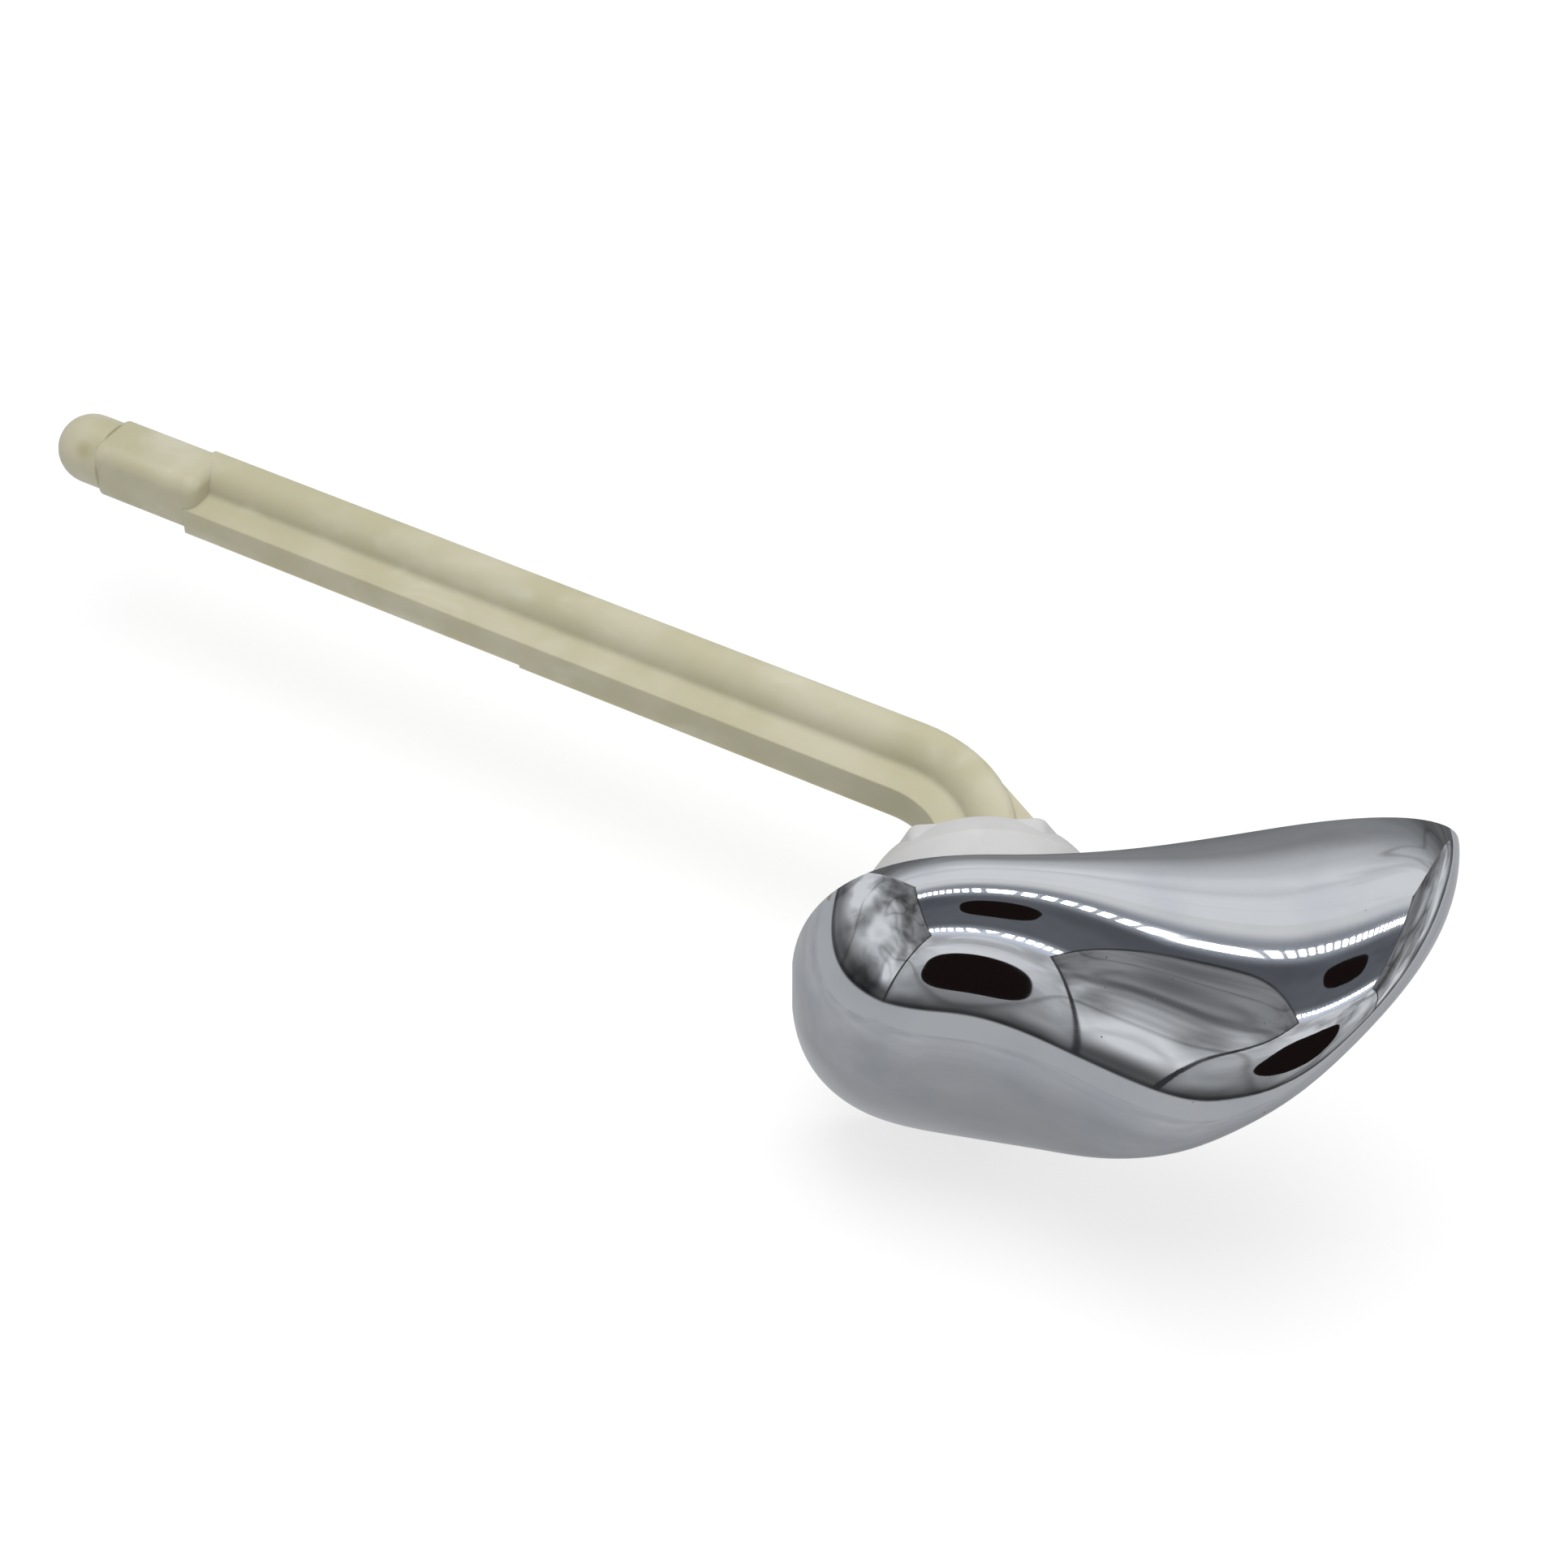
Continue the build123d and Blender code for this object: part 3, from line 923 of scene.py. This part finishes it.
@dataclass
class LeverBody:
    """The pieces that turn: the chromed handle, the moulded arm and the set screw."""

    handle_node: str = "handle"
    arm_node: str = "arm"
    screw_node: str = "screw"
    skin: MirrorSkin = field(default_factory=MirrorSkin)
    chrome: ChromePlate = ChromePlate()
    bare: MouldedPlastic = MouldedPlastic(
        name="bare_hollow",
        colour=(0.34, 0.345, 0.355),
        pale=(0.42, 0.425, 0.435),
        deep=(0.28, 0.285, 0.295),
        roughness=0.36,
    )
    ivory: MouldedPlastic = MouldedPlastic(
        name="ivory_plastic",
        colour=(0.54, 0.515, 0.385),
        pale=(0.63, 0.615, 0.51),
        deep=(0.485, 0.46, 0.315),
        roughness=0.40,
        streaks=Clouds(240.0, 3.0, stretch=(0.35, 0.5, 1.0), warp=0.6),
        glow=0.45,
        edge=0.35 * MM,
        gate=(-125.6 * MM, 97.3 * MM, 3.4 * MM),
    )
    zinc: ZincSteel = ZincSteel()

    def build(self) -> None:
        """Dress the lever's nodes and put the skin in the handle's place."""
        chrome = self.chrome.build()
        dress(self.handle_node, chrome)
        self.skin.build(chrome, self.bare.build())
        dress(self.arm_node, self.ivory.build())
        dress(self.screw_node, self.zinc.build())


@dataclass
class ClampBody:
    """The pieces that hold the wall: bushing, gasket and nut."""

    bushing_node: str = "bushing"
    gasket_node: str = "gasket"
    nut_node: str = "nut"
    white: MouldedPlastic = MouldedPlastic(
        name="white_plastic",
        colour=(0.565, 0.56, 0.56),
        pale=(0.605, 0.60, 0.60),
        deep=(0.53, 0.525, 0.525),
        roughness=0.46,
        glow=0.15,
    )
    rubber: Rubber = Rubber()

    def build(self) -> None:
        """Dress the clamp's nodes."""
        white = self.white.build()
        dress(self.bushing_node, white)
        dress(self.nut_node, white)
        dress(self.gasket_node, self.rubber.build())


@dataclass
class Floor:
    """Pale floor that looks white, keeps the lever's soft shadow and is grey in mirrors, with a painted
    shadow under the handle there.

    Attributes:
        half: Half its width.
        drop: Its distance under the lever's lowest point.
        clouds: Its faint mottle.
        pale: Its colour for light that it throws back.
        mottle: Share of that colour in the darker clouds.
        catch: Colour on which the camera sees the shadow.
        white: Glow that the camera sees besides.
        painted_shadow_middle: Middle of a painted shadow under the handle, away from which the mirrored
            level rises.
        painted_shadow_fade: Distances from that point at which the painted shadow starts to lighten and
            ends.
        mirrored_in_painted_shadow: Mirrored level at the point, darkened as painted shadow.
        mirrored_far: Mirrored level far from it.
        mirrored_clouds: How strongly the clouds show in mirrors.
        mirrored_tint: Colour in mirrors.
    """

    half: float = 2.0
    drop: float = 0.3 * MM
    clouds: Clouds = Clouds(30.0, 3.0)
    pale: Colour = (0.86, 0.86, 0.87)
    mottle: float = 0.97
    catch: Colour = (0.34, 0.34, 0.34)
    white: float = 0.70
    painted_shadow_middle: Point = (10 * MM, -14 * MM, 0.0)
    painted_shadow_fade: Pair = (15 * MM, 120 * MM)
    mirrored_in_painted_shadow: float = 0.40
    mirrored_far: float = 0.54
    mirrored_clouds: float = 0.22
    mirrored_tint: Colour = (0.98, 0.99, 1.02)

    def build(self) -> None:
        """Make the floor under the lever's lowest point."""
        low = cad_box[0].z - self.drop
        build = bmesh.new()
        corners = [(-1, -1), (1, -1), (1, 1), (-1, 1)]
        build.faces.new([build.verts.new((x * self.half, y * self.half, low)) for x, y in corners])
        floor = mesh_object("floor", build)
        floor.data.materials.append(self._material())
        LOG.info("floor at %.1f mm", low / MM)

    def _material(self) -> bpy.types.Material:
        """Make the floor's material.

        Returns:
            White with a shadow for the camera, grey with a painted shadow under the handle for mirrors and
            plain diffuse for other light.
        """
        material, shader = new_material("pale_floor")
        clouds = shader.clouds(self.clouds)
        pale = shader.blend(clouds, self.pale, tuple(self.mottle * c for c in self.pale))
        plain = shader.node("ShaderNodeBsdfDiffuse", None, {"Color": pale}).outputs[0]
        catcher = shader.node("ShaderNodeBsdfDiffuse", None, {"Color": (*self.catch, 1.0)}).outputs[0]
        white = shader.node("ShaderNodeEmission", None, {"Strength": self.white}).outputs[0]
        seen = shader.node("ShaderNodeAddShader", None, {0: catcher, 1: white}).outputs[0]
        # Painted shadow: in mirrors the floor is painted darker round the point under the handle.
        painted_shadow_fade = shader.away_from(self.painted_shadow_middle).smooth(*self.painted_shadow_fade)
        level = self.mirrored_in_painted_shadow + (self.mirrored_far - self.mirrored_in_painted_shadow) * painted_shadow_fade
        level = level + self.mirrored_clouds * (clouds - MIDDLE)
        grey = shader.blend(level, BLACK, self.mirrored_tint)
        mirrored = shader.node("ShaderNodeEmission", None, {"Color": grey}).outputs[0]
        glossy = shader.light_path(Ray.GLOSSY, Ray.TRANSMISSION)
        bare = shader.node("ShaderNodeMixShader", None, {0: glossy, 1: plain, 2: mirrored}).outputs[0]
        camera = shader.light_path(Ray.CAMERA)
        shader.output(shader.node("ShaderNodeMixShader", None, {0: camera, 1: bare, 2: seen}).outputs[0])
        return material


@dataclass
class LightTent:
    """Cloth light tent that only mirrors see: walls, roof with two strips of lamps, and two dark openings.

    Attributes:
        left_front: Left end of the front wall along X.
        left_back: Left end of the back wall along X.
        right: Place of the right wall along X.
        front: Place of the front wall along Y.
        back: Place of the back wall along Y.
        roof: Height of the roof.
        sweep: Height at which the walls meet the mirrored floor.
        side: Cloth of the left and right walls.
        rear: Cloth of the back wall.
        face: Cloth of the front wall.
        top: Cloth of the roof.
        lamps: Glow of the lamps.
        back_strip: Place of the back strip of lamps along Y.
        front_strip: Place of the front strip along Y.
        strip_margin: Distance of a strip from the walls at its ends.
        lamp_pitch: Distance from lamp to lamp.
        lamp_half: Half a lamp's width and depth.
        lamp_drop: Distance of the lamps under the roof.
        dark: Look of the openings.
        hole: Middle of the roof's hole.
        hole_half: Half its width and depth.
        opening: Middle of the camera's opening.
        opening_half: Half its width and height.
        squareness: Power of the openings' rounded outline; 2 is an ellipse.
        outline_points: Points of that outline.
        seam: Look of the seams.
        seam_radius: Radius of a seam.
        seam_sides: Sides of a seam's section.
    """

    left_front: float = -133 * MM
    left_back: float = -182 * MM
    right: float = 300 * MM
    front: float = -150 * MM
    back: float = 200 * MM
    roof: float = 435 * MM
    sweep: float = 22 * MM
    side: WallCloth = WallCloth(
        name="tent_side",
        levels=((0.0, 0.12), (40 * MM, 0.19), (100 * MM, 1.05), (190 * MM, 0.75), (305 * MM, 0.25)),
        relief=1.35,
    )
    rear: WallCloth = WallCloth(
        name="tent_rear",
        levels=((180 * MM, 0.18), (400 * MM, 1.40)),
        relief=0.42,
        drape=(0.4, 1.0, 2.2),
    )
    face: WallCloth = WallCloth(
        name="tent_face",
        levels=((22 * MM, 0.15), (60 * MM, 0.42), (200 * MM, 0.80)),
        relief=0.7,
    )
    top: RoofCloth = RoofCloth()
    lamps: Glow = Glow("tent_lamps", WHITE, strength=12.0)
    back_strip: float = 122 * MM
    front_strip: float = -112 * MM
    strip_margin: float = 12 * MM
    lamp_pitch: float = 20 * MM
    lamp_half: Pair = (6 * MM, 9 * MM)
    lamp_drop: float = 2 * MM
    dark: Glow = Glow("tent_dark", (0.012, 0.008, 0.007))
    hole: Point = (44 * MM, 20 * MM, 434 * MM)
    hole_half: Pair = (80 * MM, 46 * MM)
    opening: Point = (12 * MM, -149 * MM, 144 * MM)
    opening_half: Pair = (87 * MM, 80 * MM)
    squareness: float = 2.8
    outline_points: int = 64
    seam: Glow = Glow("tent_seam", (0.045, 0.045, 0.05))
    seam_radius: float = 3.5 * MM
    seam_sides: int = 8

    def build(self) -> None:
        """Make the walls, the roof with its lamps, the openings and the seams."""
        self._hang_cloth()
        lamps = self.lamps.build()
        self._strip("strip_back", self.back_strip, lamps)
        self._strip("strip_front", self.front_strip, lamps)
        dark = self.dark.build()
        self._patch("roof_hole", Matrix.Translation(self.hole), self.hole_half, dark)
        upright = Matrix.Translation(self.opening) @ Matrix.Rotation(math.pi / 2, 4, "X")
        self._patch("camera_opening", upright, self.opening_half, dark)
        self._sew_seams()

    def _hang_cloth(self) -> None:
        """Hang the four walls and the roof."""
        floor = cad_box[0].z
        near, far, right, front, back = self.left_front, self.left_back, self.right, self.front, self.back
        side, rear, face = (cloth.build(self.sweep) for cloth in (self.side, self.rear, self.face))
        walls = [
            ("tent_left", (near, front), (far, back), side),
            ("tent_right", (right, back), (right, front), side),
            ("tent_front", (right, front), (near, front), face),
            ("tent_back", (far, back), (right, back), rear),
        ]
        for name, (x0, y0), (x1, y1), cloth in walls:
            points = [(x0, y0, floor), (x1, y1, floor), (x1, y1, self.roof), (x0, y0, self.roof)]
            self._panel(name, points, cloth)
        top = [(near, front), (right, front), (right, back), (far, back)]
        roof_cloth = self.top.build(self.front_strip, self.back_strip)
        self._panel("tent_roof", [(x, y, self.roof) for x, y in top], roof_cloth)
        LOG.info("light tent with %d walls and a roof", len(walls))

    def _sew_seams(self) -> None:
        """Run a dark seam along each upright edge in front and along both sides of the roof."""
        near, far, right, front, back = self.left_front, self.left_back, self.right, self.front, self.back
        seam = self.seam.build()
        edges = [
            ("seam_left_front", (near, front, self.sweep), (near, front, self.roof)),
            ("seam_right_front", (right, front, self.sweep), (right, front, self.roof)),
            ("seam_left_roof", (near, front, self.roof), (far, back, self.roof)),
            ("seam_right_roof", (right, front, self.roof), (right, back, self.roof)),
        ]
        for name, start, end in edges:
            self._rod(name, Vector(start), Vector(end), seam)
        LOG.info("light tent with %d seams", len(edges))

    def _panel(self, name: str, points: Sequence[Point], material: bpy.types.Material) -> None:
        """Add one flat panel of the tent.

        Args:
            name: Name of the panel.
            points: Its corners.
            material: Its look.
        """
        build = bmesh.new()
        build.faces.new([build.verts.new(point) for point in points])
        self._set_up(mesh_object(name, build), material)

    def _strip(self, name: str, y: float, material: bpy.types.Material) -> None:
        """Add a row of small lamps under the roof.

        Args:
            name: Name of the row.
            y: Its place across the roof.
            material: The lamps' glow.
        """
        build = bmesh.new()
        wide, deep = self.lamp_half
        share = (y - self.front) / (self.back - self.front)
        first = self.left_front + share * (self.left_back - self.left_front) + self.strip_margin
        count = int((self.right - self.strip_margin - first) / self.lamp_pitch)
        height = self.roof - self.lamp_drop
        low, high = y - deep, y + deep
        for i in range(count + 1):
            x = first + i * self.lamp_pitch
            square = [(x - wide, low), (x + wide, low), (x + wide, high), (x - wide, high)]
            build.faces.new([build.verts.new((a, b, height)) for a, b in square])
        self._set_up(mesh_object(name, build), material)

    def _rod(self, name: str, start: Vector, end: Vector, material: bpy.types.Material) -> None:
        """Add a dark seam along an edge of the tent.

        Args:
            name: Name of the seam.
            start: One end.
            end: Other end.
            material: Its look.
        """
        along = end - start
        turn = along.to_track_quat("Z", "Y").to_matrix().to_4x4()
        build = bmesh.new()
        bmesh.ops.create_cone(
            build,
            segments=self.seam_sides,
            radius1=self.seam_radius,
            radius2=self.seam_radius,
            depth=along.length,
            matrix=Matrix.Translation((start + end) / 2) @ turn,
        )
        self._set_up(mesh_object(name, build), material)

    def _patch(self, name: str, at: Matrix, half: Pair, material: bpy.types.Material) -> None:
        """Add a dark rounded opening.

        Args:
            name: Name of the opening.
            at: Its place, with its face along the local Z.
            half: Half its width and height.
            material: Its look.
        """
        build = bmesh.new()
        power = 2 / self.squareness
        ring = []
        for i in range(self.outline_points):
            turn = 2 * math.pi * i / self.outline_points
            x = math.copysign(abs(math.cos(turn)) ** power, math.cos(turn)) * half[0]
            y = math.copysign(abs(math.sin(turn)) ** power, math.sin(turn)) * half[1]
            ring.append(build.verts.new(at @ Vector((x, y, 0.0))))
        build.faces.new(ring)
        self._set_up(mesh_object(name, build), material)

    @staticmethod
    def _set_up(panel: bpy.types.Object, material: bpy.types.Material) -> None:
        """Give a panel its look, so that only mirrors see it.

        Args:
            panel: Object of the tent.
            material: Its look.
        """
        panel.data.materials.append(material)
        panel.visible_camera = False
        panel.visible_diffuse = False
        panel.visible_shadow = False


@dataclass
class StudioLight:
    """Soft even light: a pale world, white for the camera, and one broad lamp overhead."""

    world_strength: float = 0.62
    lamp_width: float = 0.5
    lamp_height: float = 0.55
    lamp_back: float = 0.02
    lamp_power: float = 2.6

    def build(self) -> None:
        """Make the world and the lamp."""
        world = bpy.data.worlds.new("studio")
        bpy.context.scene.world = world
        shader = ShaderTree(world)
        light = shader.node("ShaderNodeBackground", None, {"Strength": self.world_strength}).outputs[0]
        white = shader.node("ShaderNodeBackground", None, {"Color": (*WHITE, 1.0)}).outputs[0]
        camera = shader.light_path(Ray.CAMERA)
        mixed = shader.node("ShaderNodeMixShader", None, {0: camera, 1: light, 2: white}).outputs[0]
        shader.output(mixed, "ShaderNodeOutputWorld")
        data = bpy.data.lights.new("overhead", "AREA")
        data.size = self.lamp_width
        data.energy = self.lamp_power
        lamp = bpy.data.objects.new("overhead", data)
        lamp.location = (0.0, self.lamp_back, self.lamp_height)
        lamp.visible_glossy = False
        bpy.context.scene.collection.objects.link(lamp)
        LOG.info("studio light")


@dataclass
class StudioCamera:
    """Camera that looks down on the lever from the front."""

    place: Point = (-24.80 * MM, -294.29 * MM, 302.96 * MM)
    pitch_degrees: float = 47.0
    focal_pixels: float = 4200.0
    image_pixels: float = 1932.0
    sensor: float = 36.0
    nearest: float = 10 * MM

    def build(self) -> None:
        """Make the camera."""
        data = bpy.data.cameras.new("camera")
        data.sensor_width = self.sensor
        data.lens = self.focal_pixels / self.image_pixels * self.sensor
        data.clip_start = self.nearest
        camera = bpy.data.objects.new("camera", data)
        camera.location = self.place
        camera.rotation_euler = (math.radians(self.pitch_degrees), 0.0, 0.0)
        bpy.context.scene.collection.objects.link(camera)
        bpy.context.scene.camera = camera
        LOG.info("camera with a lens of %.1f mm", data.lens)


def write_sizes() -> None:
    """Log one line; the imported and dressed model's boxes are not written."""
    LOG.info("sizes written")


def main() -> None:
    """Build the lever's looks and the studio in order."""
    logging.basicConfig(level=logging.INFO, format="%(name)s: %(message)s")
    bpy.context.scene.view_settings.view_transform = "Standard"
    LeverBody().build()
    ClampBody().build()
    Floor().build()
    StudioCamera().build()
    LightTent().build()
    StudioLight().build()
    write_sizes()


if __name__ == "__main__":
    main()
